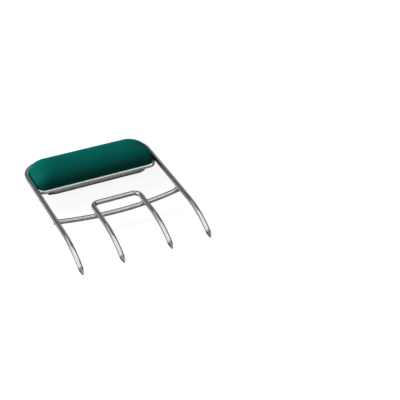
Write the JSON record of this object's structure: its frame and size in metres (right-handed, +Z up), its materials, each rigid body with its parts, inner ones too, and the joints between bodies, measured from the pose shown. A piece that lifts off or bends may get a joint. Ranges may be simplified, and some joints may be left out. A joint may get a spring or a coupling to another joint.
{
  "type": "roast poultry lifter",
  "caption": "Hand lifter for roast poultry: curved pointed wire tines, a bowed cross brace and a moulded soft grip on a wire ring.",
  "frame": {"origin": "middle of the footprint, on the surface that the lifter stands on", "axes": "+X along the grip, +Y from the tine tips to the back of the grip, +Z up"},
  "size_m": [0.1134, 0.134, 0.0237],
  "materials": {
    "wire": "polished",
    "weld": "satin",
    "grip": "satin",
    "core": "matte"
  },
  "bodies": {
    "root": {"outer_frame_wire": "wire", "inner_fork_wire": "wire", "cross_brace": "wire", "grip_ring_wire": "wire", "cradle_wire": "wire", "grip_core": "core", "grip_cover": "grip", "brace_arm_welds": "weld", "brace_fork_welds": "weld", "ring_frame_welds": "weld", "cradle_ring_welds": "weld"}
  },
  "joints": []
}
